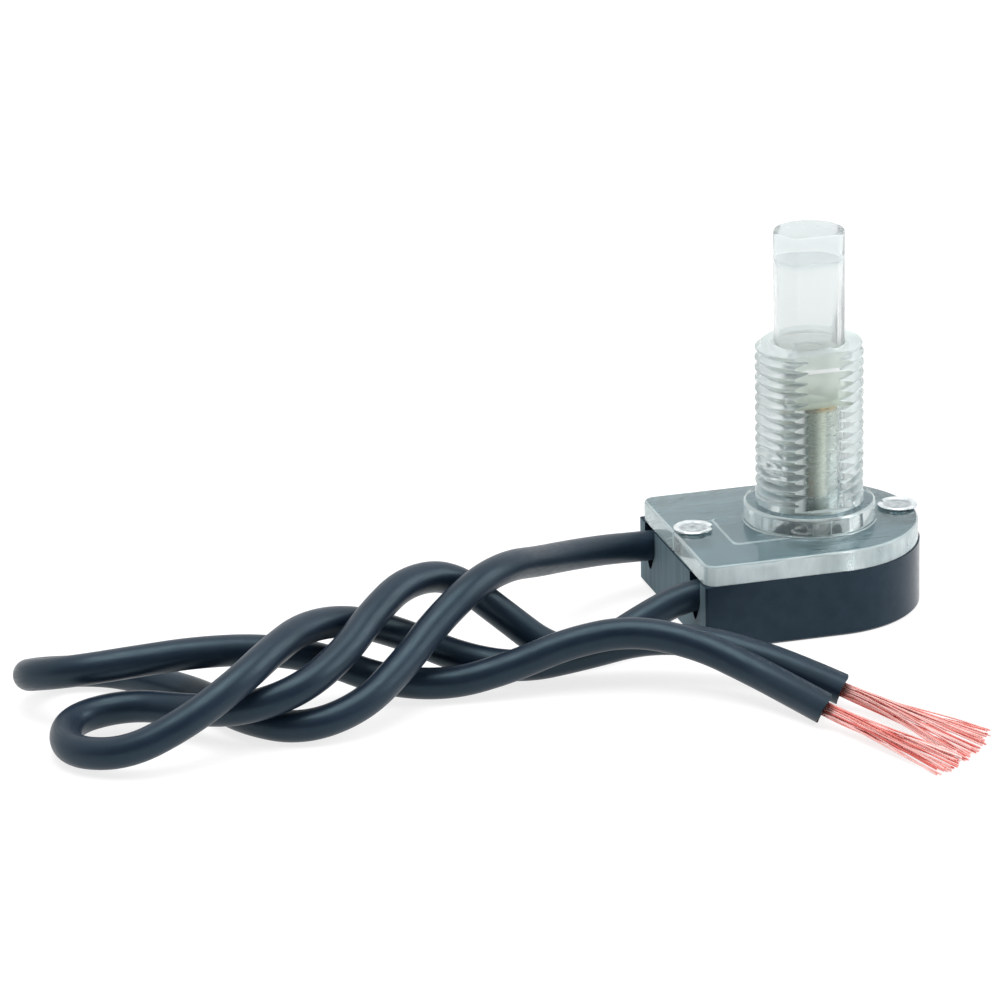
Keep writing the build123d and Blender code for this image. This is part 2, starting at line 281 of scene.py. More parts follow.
ROUTE_NEAR = [
    (-6.5, -6.6, 4.2), (-10.0, -6.63, 4.2), (-13.6, -6.6, 4.2), (-17.4, -7.6, 3.1), (-21.8, -9.1, 1.6),
    (-26.1, -9.4, 1.4), (-30.4, -6.8, 5.0), (-34.3, -6.0, 8.5), (-38.9, -8.6, 9.4), (-42.8, -12.3, 8.2),
    (-46.1, -15.8, 6.4), (-50.6, -18.9, 4.8), (-55.5, -18.4, 3.4), (-59.3, -14.3, 2.4), (-63.6, -10.9, 2.2),
    (-69.1, -11.9, 1.8), (-70.3, -17.7, 1.4), (-66.0, -21.3, 2.0), (-61.0, -21.2, 4.0), (-56.3, -19.6, 6.2),
    (-52.4, -16.4, 7.6), (-48.7, -12.5, 7.9), (-44.1, -9.7, 6.9), (-39.4, -9.0, 4.8), (-34.6, -9.9, 2.3),
    (-29.8, -11.6, 1.4), (-24.5, -12.5, 2.3), (-19.3, -13.1, 3.4), (-14.4, -15.2, 3.3), (-10.3, -18.5, 2.5),
    (-7.3, -22.2, 1.8), (-5.6, -24.8, 1.4),
]

# The line that the tips of each fan of strands lie on, as (share of the strands, place)
TIPS_FAR = [
    (0.0, (-3.3, -41.7, 0.3)), (0.4, (-1.7, -41.4, 0.4)), (0.7, (-0.8, -40.0, 0.4)), (1.0, (-0.6, -38.6, 0.4))]
TIPS_NEAR = [(0.0, (-0.5, -40.0, 0.3)), (0.5, (1.6, -38.4, 0.4)), (1.0, (3.5, -35.5, 0.4))]


# Mesh helpers

def add_mesh(name, verts, faces, material=None, smooth=35.0):
    """A mesh object from points in millimetres, smooth across edges flatter than an angle."""
    mesh = bpy.data.meshes.new(name)
    mesh.from_pydata([[c * MM for c in v] for v in verts], [], faces)
    mesh.validate()
    obj = bpy.data.objects.new(name, mesh)
    scene.collection.objects.link(obj)
    finish_mesh(obj, smooth)
    if material:
        mesh.materials.append(material)
    return obj


def finish_mesh(obj, smooth):
    """Outward normals and shading by angle."""
    work = bmesh.new()
    work.from_mesh(obj.data)
    bmesh.ops.recalc_face_normals(work, faces=work.faces)
    work.to_mesh(obj.data)
    work.free()
    obj.data.polygons.foreach_set("use_smooth", [True] * len(obj.data.polygons))
    obj.data.set_sharp_from_angle(angle=math.radians(smooth))


def stack(loops, closed_ends=True):
    """Points and faces of a body through loops of equal length, capped at both ends if they are closed."""
    count = len(loops[0])
    verts = [p for loop in loops for p in loop]
    faces = []
    for row in range(len(loops) - 1):
        here, above = row * count, (row + 1) * count
        for i in range(count):
            j = (i + 1) % count
            faces.append((here + i, here + j, above + j, above + i))
    if closed_ends:
        faces.append(tuple(reversed(range(count))))
        faces.append(tuple((len(loops) - 1) * count + i for i in range(count)))
    return verts, faces


def arc(centre, radius, start, stop, steps, z):
    """Points at a height along an arc, with both its ends."""
    angles = [start + (stop - start) * i / steps for i in range(steps + 1)]
    return [(centre[0] + radius * math.cos(a), centre[1] + radius * math.sin(a), z) for a in angles]


def edge_round(radius):
    """Pairs of inset and drop along a rounded top edge, from the wall to the top."""
    leans = [QUARTER * step / EDGE_STEPS for step in range(EDGE_STEPS + 1)]
    return [(radius * (1 - math.cos(lean)), radius * (1 - math.sin(lean))) for lean in leans]


def ring(radius, z, count=ARC_STEPS, centre=(0, 0)):
    """A circle of points at a height, with a side square to -Y."""
    angles = [2 * math.pi * i / count - QUARTER + math.pi / count for i in range(count)]
    return [(centre[0] + radius * math.cos(a), centre[1] + radius * math.sin(a), z) for a in angles]


def d_ring(radius, flat, z):
    """A D section with its points on the arc and on the ends of the flat."""
    half = math.acos(flat / radius)
    return arc((0, 0), radius, half - QUARTER, 3 * QUARTER - half, ARC_STEPS - 1, z)


def soft_d_ring(radius, flat, corner, z):
    """A D section whose two corners are rounded."""
    x, y = math.sqrt((radius - corner) ** 2 - (flat - corner) ** 2), corner - flat
    lean = math.atan2(y, x)
    points = arc((x, y), corner, -QUARTER, lean, CORNER_STEPS, z)
    points += arc((0, 0), radius, lean, math.pi - lean, ARC_STEPS, z)[1:-1]
    points += arc((-x, y), corner, math.pi - lean, 3 * QUARTER, CORNER_STEPS, z)
    return points


def plan_ring(inset, z):
    """The cover's outline: rounded square corners at -X, half round at +X."""
    end, half, corner = COVER_END - inset, COVER_HALF - inset, COVER_CORNER - inset
    points = arc((0, 0), half, -QUARTER, QUARTER, PLAN_STEPS, z)
    points += arc((corner - end, half - corner), corner, QUARTER, math.pi, PLAN_CORNER_STEPS, z)
    points += arc((corner - end, corner - half), corner, math.pi, 3 * QUARTER, PLAN_CORNER_STEPS, z)
    return points


def recess_ring(inset, z):
    """The outline of the recess under the cover, its two outer corners rounded."""
    end, half, corner = RECESS_END - inset, RECESS_HALF - inset, RECESS_CORNER
    points = [(0.0, -half, z), (0.0, half, z)]
    points += arc((corner - end, half - corner), corner, QUARTER, math.pi, CORNER_STEPS, z)
    points += arc((corner - end, corner - half), corner, math.pi, 3 * QUARTER, CORNER_STEPS, z)
    return points


def add_slab(x0, x1, y0, y1, z0, z1):
    """A box between two corners."""
    return add_mesh("slab", *stack([[(x0, y0, z), (x1, y0, z), (x1, y1, z), (x0, y1, z)] for z in (z0, z1)]))


def cut(target, tools, operation):
    """Applies exact booleans one after the other and removes the tools."""
    for tool in tools:
        modifier = target.modifiers.new("cut", "BOOLEAN")
        modifier.operation = operation
        modifier.solver = "EXACT"
        modifier.object = tool
        mesh = bpy.data.meshes.new_from_object(
            target.evaluated_get(bpy.context.evaluated_depsgraph_get()))
        target.modifiers.clear()
        target.data = mesh
        bpy.data.objects.remove(tool)


def frames_along(points):
    """A direction and two sideways vectors at each point, carried along without twist."""
    tangents = []
    for i in range(len(points)):
        before, after = points[max(i - 1, 0)], points[min(i + 1, len(points) - 1)]
        tangents.append((after - before).normalized())
    side = tangents[0].cross(Vector((0, 0, 1))).normalized()
    frames = []
    for tangent in tangents:
        side = (side - tangent * side.dot(tangent)).normalized()
        frames.append((tangent, side, tangent.cross(side)))
    return frames


def tube_loops(line, radius, sides):
    """Loops in millimetres round a line of points in metres."""
    loops = []
    for point, (tangent, side, over) in zip(line, frames_along(line)):
        loop = []
        for k in range(sides):
            angle = 2 * math.pi * k / sides
            offset = (side * math.cos(angle) + over * math.sin(angle)) * radius * MM
            loop.append(tuple((point + offset) / MM))
        loops.append(loop)
    return loops


# Camera

def add_camera():
    """The camera at the photograph's angle."""
    right, up, place = CAMERA_RIGHT, CAMERA_UP, CAMERA_PLACE
    back = right.cross(up)
    data = bpy.data.cameras.new("camera")
    data.sensor_width = 36.0
    data.lens = CAMERA_LENS
    data.clip_start = 0.02
    camera = bpy.data.objects.new("camera", data)
    camera.matrix_world = Matrix((
        (right.x, up.x, back.x, place.x), (right.y, up.y, back.y, place.y),
        (right.z, up.z, back.z, place.z), (0, 0, 0, 1)))
    scene.collection.objects.link(camera)
    scene.camera = camera


# Nodes of the materials

def new_material(name):
    """A material, its node tree and its shader."""
    material = bpy.data.materials.new(name)
    material.use_nodes = True
    tree = material.node_tree
    return material, tree, tree.nodes["Principled BSDF"]


def noise(tree, scale, detail=4.0, coords="Object", stretch=(1, 1, 1)):
    """A noise texture in the object's own metres."""
    where = tree.nodes.new("ShaderNodeTexCoord")
    mapping = tree.nodes.new("ShaderNodeMapping")
    mapping.inputs["Scale"].default_value = stretch
    texture = tree.nodes.new("ShaderNodeTexNoise")
    texture.inputs["Scale"].default_value = scale
    texture.inputs["Detail"].default_value = detail
    texture.inputs["Roughness"].default_value = NOISE_ROUGH
    tree.links.new(where.outputs[coords], mapping.inputs["Vector"])
    tree.links.new(mapping.outputs["Vector"], texture.inputs["Vector"])
    return texture.outputs["Fac"]


def ramp(tree, value, stops):
    """A colour ramp with (place, colour) stops."""
    node = tree.nodes.new("ShaderNodeValToRGB")
    while len(node.color_ramp.elements) < len(stops):
        node.color_ramp.elements.new(0.5)
    for element, (place, colour) in zip(node.color_ramp.elements, stops):
        element.position = place
        element.color = (*colour, 1.0)
    tree.links.new(value, node.inputs["Fac"])
    return node.outputs["Color"]


def two_tone(tree, value, low, high):
    """A noise as a colour between two others."""
    return ramp(tree, value, [(NOISE_LOW, low), (NOISE_HIGH, high)])


def map_range(tree, value, start, stop, low=0.0, high=1.0):
    """A linked value from one range onto another."""
    node = tree.nodes.new("ShaderNodeMapRange")
    for socket, number in zip(("From Min", "From Max", "To Min", "To Max"), (start, stop, low, high)):
        node.inputs[socket].default_value = number
    tree.links.new(value, node.inputs["Value"])
    return node.outputs["Result"]


def spread(tree, value, low, high):
    """A noise as a value between two others."""
    return map_range(tree, value, NOISE_LOW, NOISE_HIGH, low, high)


def bump(tree, shader, height, strength, distance):
    """Fine relief in the shader's surface."""
    node = tree.nodes.new("ShaderNodeBump")
    node.inputs["Strength"].default_value = strength
    node.inputs["Distance"].default_value = distance
    tree.links.new(height, node.inputs["Height"])
    tree.links.new(node.outputs["Normal"], shader.inputs["Normal"])


def place_on(tree, axis):
    """The object's own coordinate on an axis, in metres."""
    where = tree.nodes.new("ShaderNodeTexCoord")
    split = tree.nodes.new("ShaderNodeSeparateXYZ")
    tree.links.new(where.outputs["Object"], split.inputs["Vector"])
    return split.outputs[axis]


def height_tint(tree, stops):
    """A colour that changes with the height on the object, in stops of metres."""
    low, high = stops[0][0], stops[-1][0]
    share = map_range(tree, place_on(tree, "Z"), low, high)
    return ramp(tree, share, [((z - low) / (high - low), colour) for z, colour in stops])


def side_share(tree, start, stop, low, high):
    """A value that changes with the distance from the object's middle plane, in metres."""
    away = tree.nodes.new("ShaderNodeMath")
    away.operation = "ABSOLUTE"
    tree.links.new(place_on(tree, "X"), away.inputs[0])
    return map_range(tree, away.outputs["Value"], start, stop, low, high)


def along_way(tree, coords, way):
    """How far a texture coordinate lies along a given way."""
    where = tree.nodes.new("ShaderNodeTexCoord")
    node = tree.nodes.new("ShaderNodeVectorMath")
    node.operation = "DOT_PRODUCT"
    node.inputs[1].default_value = way
    tree.links.new(where.outputs[coords], node.inputs[0])
    return node.outputs["Value"]


def facing_share(tree, way):
    """One where a face of the object looks a given way, zero elsewhere."""
    return map_range(tree, along_way(tree, "Normal", way), FACING_START, FACING_FULL)


def larger(tree, first, second):
    """The larger of two linked values."""
    node = tree.nodes.new("ShaderNodeMath")
    node.operation = "MAXIMUM"
    tree.links.new(first, node.inputs[0])
    tree.links.new(second, node.inputs[1])
    return node.outputs["Value"]


def mix(tree, kind, first, second):
    """A mix node of two linked colours or values, and its result."""
    node = tree.nodes.new("ShaderNodeMix")
    node.data_type = kind
    one, two, result = MIX_SOCKETS[kind]
    tree.links.new(first, node.inputs[one])
    tree.links.new(second, node.inputs[two])
    return node, node.outputs[result]


def blend(tree, kind, share, first, second):
    """Two linked colours or values, mixed by a share."""
    node, result = mix(tree, kind, first, second)
    tree.links.new(share, node.inputs["Factor"])
    return result


def multiply(tree, first, second):
    """The product of two linked colours."""
    node, result = mix(tree, "RGBA", first, second)
    node.blend_type = "MULTIPLY"
    node.inputs["Factor"].default_value = 1.0
    return result


# Materials

def clear_plastic(name, tint=None, rough=0.10, haze=0.03, ior=CLEAR_IOR, stops=None, waviness=0.0,
                  grain=(1, 1, 1), depth=0.05, fade=None, clearest=None):
    """Clear moulded plastic with faint flow lines in its colour and surface.

    The haze is even, or fades in over a range of distances from the middle plane, or is patchy down
    to the clearest share. The colour is a tint, or changes with the height in stops.
    """
    material, tree, shader = new_material(name)
    shader.inputs["Specular Tint"].default_value = COOL_GLOSS
    if fade:
        tree.links.new(side_share(tree, *fade, 1.0, 1.0 - haze), shader.inputs["Transmission Weight"])
    elif clearest is not None:
        patches = noise(tree, 240.0, stretch=(1, 1, 0.35))
        clarity = spread(tree, patches, 1.0 - haze, 1.0 - clearest)
        tree.links.new(clarity, shader.inputs["Transmission Weight"])
    else:
        shader.inputs["Transmission Weight"].default_value = 1.0 - haze
    shader.inputs["IOR"].default_value = ior
    if stops:
        colour = height_tint(tree, stops)
    else:
        darker = tuple(c * (1 - depth) for c in tint)
        paler = tuple(min(1.0, c * 1.04) for c in tint)
        colour = two_tone(tree, noise(tree, 320.0, detail=3.0, stretch=grain), darker, paler)
    tree.links.new(colour, shader.inputs["Base Color"])
    waves = noise(tree, 500.0, detail=2.0, stretch=grain)
    tree.links.new(spread(tree, waves, rough * 0.8, rough * 1.25), shader.inputs["Roughness"])
    if waviness:
        bump(tree, shader, noise(tree, 700.0, detail=2.0, stretch=grain), waviness, 0.00004)
    return material


def black_moulding():
    """Black moulding with a soft gloss; its lead end and its top under the cover are dull and scored, and its
    lead end is painted paler grey as painted reflected light.
    """
    material, tree, shader = new_material("black_moulding")
    mottle = noise(tree, 700.0, detail=6.0)
    colour = two_tone(tree, mottle, (0.010, 0.020, 0.034), (0.016, 0.028, 0.045))
    scores = noise(tree, 1600.0, stretch=(1.0, 1.0, 0.04))
    # The lead end's paler grey is painted reflected light; the scores in it are real.
    end_painted_light_colour = two_tone(tree, scores, (0.075, 0.120, 0.145), (0.145, 0.205, 0.235))
    at_end = facing_share(tree, (-1, 0, 0))
    tree.links.new(blend(tree, "RGBA", at_end, colour, end_painted_light_colour), shader.inputs["Base Color"])
    shader.inputs["IOR"].default_value = 1.22
    shader.inputs["Specular IOR Level"].default_value = 1.0
    shader.inputs["Specular Tint"].default_value = COOL_GLOSS
    gloss = spread(tree, noise(tree, 1500.0), 0.16, 0.26)
    dull = spread(tree, scores, 0.62, 0.80)
    gloss = blend(tree, "FLOAT", at_end, gloss, dull)
    gloss = blend(tree, "FLOAT", facing_share(tree, (0, 0, 1)), gloss, dull)
    tree.links.new(gloss, shader.inputs["Roughness"])
    bump(tree, shader, noise(tree, 2600.0), 0.04, 0.00003)
    return material


def vinyl():
    """The leads' insulation, satin with faint streaks along it."""
    material, tree, shader = new_material("vinyl")
    mottle = noise(tree, 260.0, detail=5.0)
    colour = two_tone(tree, mottle, (0.006, 0.013, 0.026), (0.012, 0.021, 0.038))
    tree.links.new(colour, shader.inputs["Base Color"])
    shader.inputs["Specular IOR Level"].default_value = 0.4
    shader.inputs["Specular Tint"].default_value = COOL_GLOSS
    streaks = noise(tree, 1.0, coords="UV", stretch=(40.0, 6.0, 1.0))
    tree.links.new(spread(tree, streaks, 0.30, 0.44), shader.inputs["Roughness"])
    bump(tree, shader, streaks, 0.10, 0.00004)
    return material


def matte_vinyl():
    """The same vinyl where it was cut: torn, matt and darker."""
    material, tree, shader = new_material("cut_vinyl")
    torn = noise(tree, 4200.0, detail=5.0)
    colour = two_tone(tree, torn, (0.003, 0.005, 0.008), (0.008, 0.012, 0.017))
    tree.links.new(colour, shader.inputs["Base Color"])
    shader.inputs["Specular IOR Level"].default_value = 0.2
    tree.links.new(spread(tree, torn, 0.6, 0.85), shader.inputs["Roughness"])
    bump(tree, shader, torn, 0.4, 0.00005)
    return material


def metal(name, low, high, rough):
    """Plain metal with a fine grain between two colours and two roughnesses."""
    material, tree, shader = new_material(name)
    shader.inputs["Metallic"].default_value = 1.0
    grain = noise(tree, 2500.0, detail=5.0)
    tree.links.new(two_tone(tree, grain, low, high), shader.inputs["Base Color"])
    tree.links.new(spread(tree, grain, *rough), shader.inputs["Roughness"])
    bump(tree, shader, grain, 0.15, 0.00004)
    return material


def rivet_plate():
    """Plated steel with a worn grain; by height it is painted bright on the rim and darker down in the dish, as
    painted light and painted shade.
    """
    material, tree, shader = new_material("rivet_plate")
    shader.inputs["Metallic"].default_value = 1.0
    # Painted shade and light: the colour darkens down into the dish and brightens up on the rim.
    depth = height_tint(tree, (
        (0.00760, (0.34, 0.38, 0.40)), (0.00784, (0.40, 0.44, 0.46)), (0.00792, (0.66, 0.72, 0.74)),
        (0.00798, (0.84, 0.90, 0.92)), (0.00806, (0.90, 0.95, 0.96))))
    grain = noise(tree, 1300.0, detail=5.0)
    worn = ramp(tree, grain, [(0.3, (0.72, 0.74, 0.75)), (0.6, (1.0, 1.0, 1.0))])
    tree.links.new(multiply(tree, depth, worn), shader.inputs["Base Color"])
    tree.links.new(spread(tree, grain, 0.14, 0.34), shader.inputs["Roughness"])
    bump(tree, shader, grain, 0.6, 0.00004)
    return material


def copper_wire():
    """Bare drawn copper: each strand a little different, brighter and duller along its length."""
    material, tree, shader = new_material("copper")
    shader.inputs["Metallic"].default_value = 0.72
    island = tree.nodes.new("ShaderNodeNewGeometry")
    each = ramp(tree, island.outputs["Random Per Island"], [
        (0.0, (0.80, 0.18, 0.16)), (0.3, (0.96, 0.38, 0.34)), (0.65, (1.0, 0.56, 0.53)),
        (1.0, (1.0, 0.76, 0.74))])
    along = ramp(tree, noise(tree, 500.0), [(0.3, (0.80, 0.72, 0.70)), (0.65, (1.0, 1.0, 1.0))])
    tree.links.new(multiply(tree, each, along), shader.inputs["Base Color"])
    tree.links.new(spread(tree, noise(tree, 1500.0), 0.20, 0.34), shader.inputs["Roughness"])
    return material


def bright_plate():
    """Plated tube: fine lines round it, an amber stain at its upper edge, and one side painted darker as a
    painted dark reflection.
    """
    material, tree, shader = new_material("bright_plate")
    shader.inputs["Metallic"].default_value = 1.0
    colour = height_tint(tree, (
        (0.0080, (0.84, 0.90, 0.87)), (0.0130, (0.88, 0.94, 0.91)), (0.0180, (0.76, 0.80, 0.72)),
        (0.0185, (0.62, 0.42, 0.16)), (0.0190, (0.55, 0.36, 0.12))))
    # Painted dark reflection: the side of the tube that faces this way is darkened in its colour.
    painted_shade_side = along_way(tree, "Object", Vector(PAINTED_SHADE_WAY) / (SLEEVE_RADIUS * MM))
    dull = ramp(tree, painted_shade_side, [
        (0.64, (1.0, 1.0, 1.0)), (0.85, (0.56, 0.59, 0.53)), (0.96, (0.15, 0.17, 0.13))])
    tree.links.new(multiply(tree, colour, dull), shader.inputs["Base Color"])
    lines = noise(tree, 900.0, detail=5.0, stretch=(1.0, 1.0, 6.0))
    tree.links.new(spread(tree, lines, 0.22, 0.36), shader.inputs["Roughness"])
    bump(tree, shader, lines, 0.06, 0.00002)
    return material


# Leads

def spline_points(name, route):
    """The points of a route's smooth line, in metres."""
    data = bpy.data.curves.new(name, "CURVE")
    data.dimensions = "3D"
    data.resolution_u = 12
    spline = data.splines.new("NURBS")
    spline.points.add(len(route) - 1)
    for point, place in zip(spline.points, route):
        point.co = (place[0] * MM, place[1] * MM, place[2] * MM, 1.0)
    spline.order_u = 3
    spline.use_endpoint_u = True
    obj = bpy.data.objects.new(name, data)
    scene.collection.objects.link(obj)
    bpy.context.view_layer.update()
    mesh = bpy.data.meshes.new_from_object(obj.evaluated_get(bpy.context.evaluated_depsgraph_get()))
    points = [v.co.copy() for v in mesh.vertices]
    bpy.data.objects.remove(obj)
    return points


def unroll(obj, places):
    """Texture coordinates round a lead and along the places of its rows."""
    lengths = [0.0]
    for before, after in zip(places, places[1:]):
        lengths.append(lengths[-1] + (after - before).length)
    layer = obj.data.uv_layers.new(name="along")
    for polygon in obj.data.polygons:
        corners = [(i, obj.data.loops[i].vertex_index) for i in polygon.loop_indices]
        spans = [vertex % LEAD_SIDES for i, vertex in corners]
        wraps = max(spans) - min(spans) > LEAD_SIDES / 2
        for i, vertex in corners:
            around = vertex % LEAD_SIDES
            if wraps and around == 0:
                around = LEAD_SIDES
            layer.data[i].uv = (around / LEAD_SIDES, lengths[vertex // LEAD_SIDES] / LEAD_GIRTH)


def add_lead(name, route, material, cut_material):
    """The insulation as a closed tube, its end cut slanting and uneven, and hollow for the strands."""
    points = spline_points(name + "_line", route)
    frames = frames_along(points)
    end, last = points[-1], frames[-1]
    ahead = last[0]
    rows = [(point, way, LEAD_RADIUS * MM, 0.0) for point, way in zip(points, frames)
            if (end - point).length > CUT_CLEAR * MM]
    body_rows = len(rows)
    rows += [(end + ahead * shift * MM, last, radius * MM, lip) for shift, radius, lip in CUT_ROWS]
    across = Vector(CUT_WAY).normalized()
    normal = ahead - across * ahead.dot(across)
    loops = []
    for row, (place, (tangent, side, over), radius, lip) in enumerate(rows):
        loop = []
        for k in range(LEAD_SIDES):
            angle = 2 * math.pi * k / LEAD_SIDES
            offset = side * math.cos(angle) * radius + over * math.sin(angle) * radius
            along = lip * (CUT_WAVE * math.cos(2 * angle) + CUT_RIPPLE * math.sin(5 * angle + 1.0)) * MM
            if row >= body_rows:
                along -= CUT_SHARE * offset.dot(normal) / tangent.dot(normal)
            loop.append(tuple((place + tangent * along + offset) / MM))
        loops.append(loop)
    obj = add_mesh(name, *stack(loops), material, smooth=50)
    obj.data.materials.append(cut_material)
    for polygon in obj.data.polygons:
        if min(vertex // LEAD_SIDES for vertex in polygon.vertices) > body_rows:
            polygon.material_index = 1
    unroll(obj, [row[0] for row in rows])
    return obj, points


def fan_tip(tips, share):
    """The place on the line of tips at a share of its length."""
    for (a, pa), (b, pb) in zip(tips, tips[1:]):
        if a <= share <= b:
            return Vector(pa).lerp(Vector(pb), (share - a) / (b - a)) * MM
    return Vector(tips[-1][1]) * MM


def add_strands(name, root, ahead, tips, seed, material):
    """Fine copper strands, packed and twisted where they leave the insulation, fanned at their ends."""
    chance = random.Random(seed)
    side = ahead.cross(Vector((0, 0, 1))).normalized()
    over = side.cross(ahead)
    packing = [(0.0, 0.0)]
    for count, radius in STRAND_RINGS:
        packing += [(radius, 2 * math.pi * (k + STRAND_STAGGER * radius) / count) for k in range(count)]
    packing.sort(key=lambda p: -p[0] * math.cos(p[1]) + chance.uniform(-STRAND_MIX, STRAND_MIX))
    wire = STRAND_DIAMETER / 2 * MM
    verts, faces = [], []
    for rank, (radius, angle) in enumerate(packing):
        tip = fan_tip(tips, rank / (len(packing) - 1))
        tip += Vector((chance.uniform(*TIP_ACROSS), chance.uniform(*TIP_ALONG), 0)) * MM
        tip.z = max(wire * 1.1, tip.z + chance.uniform(*TIP_UP) * MM)
        wander = chance.uniform(*STRAND_WANDER) * MM
        lift = chance.uniform(*STRAND_LIFT) * MM
        out = (side * math.cos(angle) + over * math.sin(angle)) * radius * MM
        line = []
        for row in range(STRAND_ROWS + 1):
            t = row / STRAND_ROWS
            turn = angle + STRAND_TWIST * t - STRAND_START
            packed = root + ahead * (t * STRAND_RUN - STRAND_INSIDE) * MM
            packed = packed + (side * math.cos(turn) + over * math.sin(turn)) * radius * MM * (1 + t)
            loose = root.lerp(tip, t) + out * (1 - t)
            loose = loose + (side * wander + over * lift) * math.sin(math.pi * t)
            point = packed.lerp(loose, 1 - (1 - t) ** FAN_POWER)
            point.z = max(point.z, wire * 1.05)
            line.append(point)
        base = len(verts)
        strand_verts, strand_faces = stack(tube_loops(line, STRAND_DIAMETER / 2, STRAND_SIDES))
        verts += strand_verts
        faces += [tuple(base + vertex for vertex in face) for face in strand_faces]
    return add_mesh(name, verts, faces, material, smooth=60)


# Clear cover with its collar and threaded bushing

def add_plate(material):
    """The cover's plate, its upper edge rounded."""
    loops = [plan_ring(0.0, COVER_UNDER)]
    loops += [plan_ring(inset, COVER_TOP - drop) for inset, drop in edge_round(COVER_EDGE)]
    return add_mesh("clear_cover_threaded", *stack(loops), material)


def add_collar():
    """The collar with its grooved foot, rounded upper edge and moulding seam."""
    loops = [ring(radius, COVER_TOP + rise, COLLAR_SIDES) for radius, rise in COLLAR_FOOT]
    loops += [ring(COLLAR_RADIUS - inset, COLLAR_TOP - drop, COLLAR_SIDES)
              for inset, drop in edge_round(COLLAR_EDGE)]
    collar = add_mesh("collar", *stack(loops))
    seam = add_slab(-SEAM_HALF, SEAM_HALF, -SEAM_OUT, -SEAM_IN, COVER_TOP - SEAM_ROOT, COLLAR_TOP - SEAM_DROP)
    cut(collar, [seam], "UNION")
    return collar


def thread_radius(angle, z):
    """The bushing's outside at an angle and a height."""
    turn = (z / THREAD_PITCH - angle / (2 * math.pi)) % 1.0
    rise = abs(turn - 0.5) * 2
    deep = min(max((rise - THREAD_CREST) / (1 - 2 * THREAD_CREST), 0.0), 1.0)
    deep = deep * deep * (3 - 2 * deep) * THREAD_ROUNDING + deep * (1 - THREAD_ROUNDING)
    run_out = min(max((z - COLLAR_TOP - THREAD_FOOT) / THREAD_RUN_OUT, 0.0), 1.0)
    return BUSHING_RADIUS - THREAD_DEPTH * deep * run_out


def add_bushing():
    """The threaded bushing, its foot sunk in the collar, with a flat that ends above a low ledge."""
    angles = []
    for start, stop, count in BUSHING_SECTORS:
        angles += [math.radians(start + (stop - start) * i / count) for i in range(count)]
    low = COLLAR_TOP - OVERLAP
    rows = int((BUSHING_TOP - low) / THREAD_PITCH * THREAD_ROWS)
    loops = []
    for row in range(rows + 1):
        z = low + (BUSHING_TOP - low) * row / rows
        room = BUSHING_RADIUS - max(0.0, BUSHING_LEAD_IN - (BUSHING_TOP - z))
        radii = [min(thread_radius(angle, z), room) for angle in angles]
        loops.append([(r * math.cos(angle), r * math.sin(angle), z) for r, angle in zip(radii, angles)])
    bushing = add_mesh("bushing_blank", *stack(loops))
    flat = add_slab(-BEYOND, BEYOND, -BEYOND, -BUSHING_FLAT, COLLAR_TOP + FLAT_FOOT, BUSHING_TOP + OVERLAP)
    cut(bushing, [flat], "DIFFERENCE")
    return bushing


def cover_tools():
    """What is cut out of the cover: guide, bore, rivet holes, recess and gate notch."""
    below, above = BASE_TOP - OVERLAP, COVER_TOP + OVERLAP
    forms = [
        [d_ring(GUIDE_RADIUS, GUIDE_FLAT, z) for z in (LIP_BOTTOM - SMALL_OVERLAP, BUSHING_TOP + OVERLAP)],
        [soft_d_ring(BORE_RADIUS, BORE_FLAT, BORE_CORNER, z) for z in (below, LIP_BOTTOM)],
    ]
    for place in RIVET_PLACES:
        forms.append([ring(RIVET_HOLE, z, HOLE_SIDES, centre=(place, 0)) for z in (below, above)])
    forms.append([recess_ring(0.0, below), recess_ring(0.0, COVER_UNDER), recess_ring(RECESS_LEAN, RECESS_TOP)])
    tools = [add_mesh("tool", *stack(form)) for form in forms]
    notch = add_slab(-COVER_END - OVERLAP, -NOTCH_END, -NOTCH_HALF, NOTCH_HALF, below, above)
    return tools + [notch]


def on_flat(place, normal):
    """Whether a face, with its middle in millimetres, lies in the bushing's flat."""
    return normal.y < -FRONT and place.z > COLLAR_TOP and abs(place.y + BUSHING_FLAT) < SLACK


def split_flat(cover):
    """Cuts the flat along the thread's roots and at the steps seen behind it, for faces of their own."""
    work = bmesh.new()
    work.from_mesh(cover.data)
    lines = [((x, 0, 0), (1, 0, 0)) for x in (-FLAT_HALF, FLAT_HALF)]
    lines += [((0, 0, z), (0, 0, 1)) for z in (SLEEVE_TOP, LIP_BOTTOM - STEP_HALF, LIP_BOTTOM + STEP_HALF)]
    for place, way in lines:
        flat = [f for f in work.faces if on_flat(f.calc_center_median() / MM, f.normal)]
        geometry = flat + list({e for f in flat for e in f.edges}) + list({v for f in flat for v in f.verts})
        bmesh.ops.bisect_plane(work, geom=geometry, dist=1e-7, plane_co=Vector(place) * MM, plane_no=way)
    work.to_mesh(cover.data)
    work.free()


def bushing_finish(place, normal):
    """The finish of a face on the outside of the bushing."""
    if not on_flat(place, normal):
        return THREAD
    if place.z > SLEEVE_TOP:
        # Above the sleeve: a white line at the lip step, a painted highlight, and the hazy window, painted
        # darker at its foot as shade.
        return HIGHLIGHT_LINE if abs(place.z - LIP_BOTTOM) < STEP_HALF else HAZY_WINDOW
    return FACET if abs(place.x) > FLAT_HALF else WINDOW


def collar_finish(place, normal):
    """The finish of a face of the collar."""
    if place.xy.length < COLLAR_INNER or normal.z > LEVEL:
        return PLATE
    if abs(place.x) < SEAM_HALF + HAIR / 2 and place.y < -COLLAR_RADIUS:
        return FROSTED
    at_foot = place.z < COVER_TOP + FOOT_RISE
    return THREAD if normal.z > SLOPED or at_foot else COLLAR


